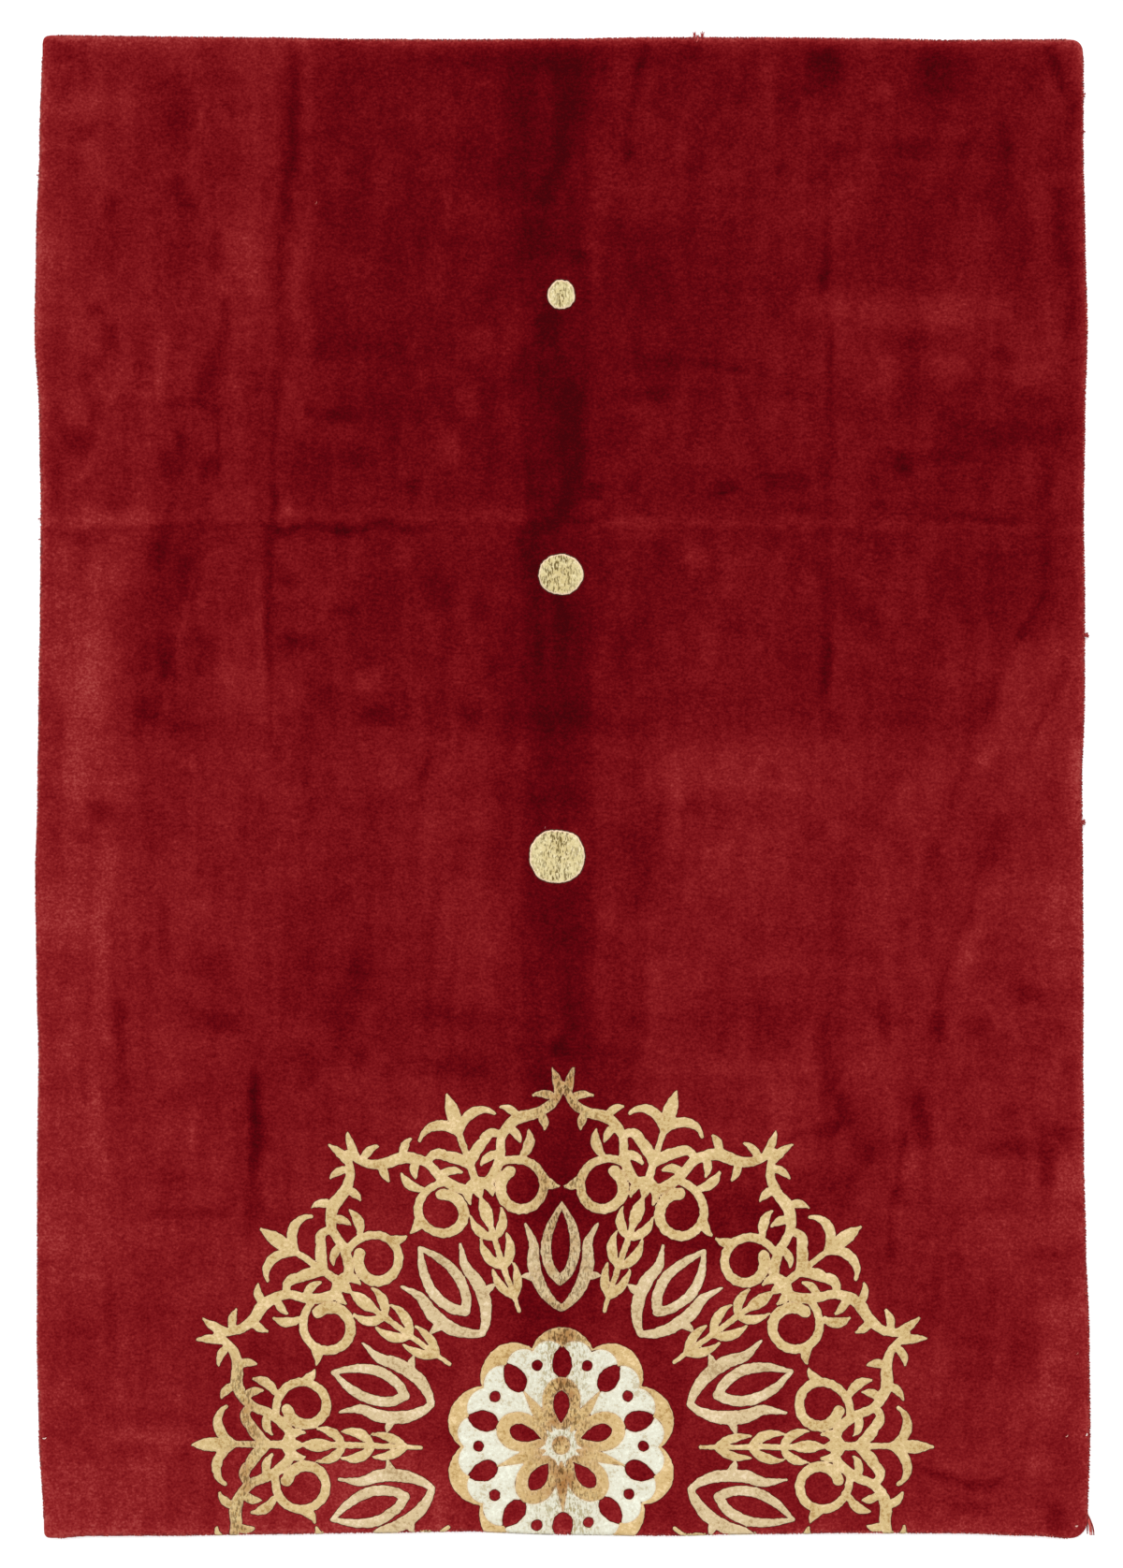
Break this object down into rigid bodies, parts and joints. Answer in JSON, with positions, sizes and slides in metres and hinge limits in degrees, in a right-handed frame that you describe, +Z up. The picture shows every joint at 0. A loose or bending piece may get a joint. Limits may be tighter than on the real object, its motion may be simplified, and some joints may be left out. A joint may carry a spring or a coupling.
{
  "type": "handwoven rug",
  "caption": "Rectangular hand-knotted pile rug lying flat, plain red field with a row of small discs and a half medallion at one end, cut pile to every edge.",
  "frame": {"origin": "middle of the rug on the surface it lies on", "axes": "+Z up out of the pile, +Y along the length towards the plain end, away from the half medallion, +X to the right when the plain end is seen at the top"},
  "size_m": [1.6186, 2.296, 0.012],
  "materials": {
    "field_pile": "deep red cut wool pile, matt with a soft nap",
    "gold_pile": "old gold cut pile, soft sheen",
    "sage_pile": "grey beige cut pile, soft sheen",
    "cream_pile": "cream cut pile, soft sheen",
    "tan_pile": "tan cut pile, soft sheen",
    "cotton_ground": "knotted back of wool on cotton warps, matt",
    "side_yarn": "twisted wool yarn, matt"
  },
  "bodies": {
    "root": {"rug": "field_pile", "side_yarn_ends": "side_yarn"}
  },
  "joints": []
}
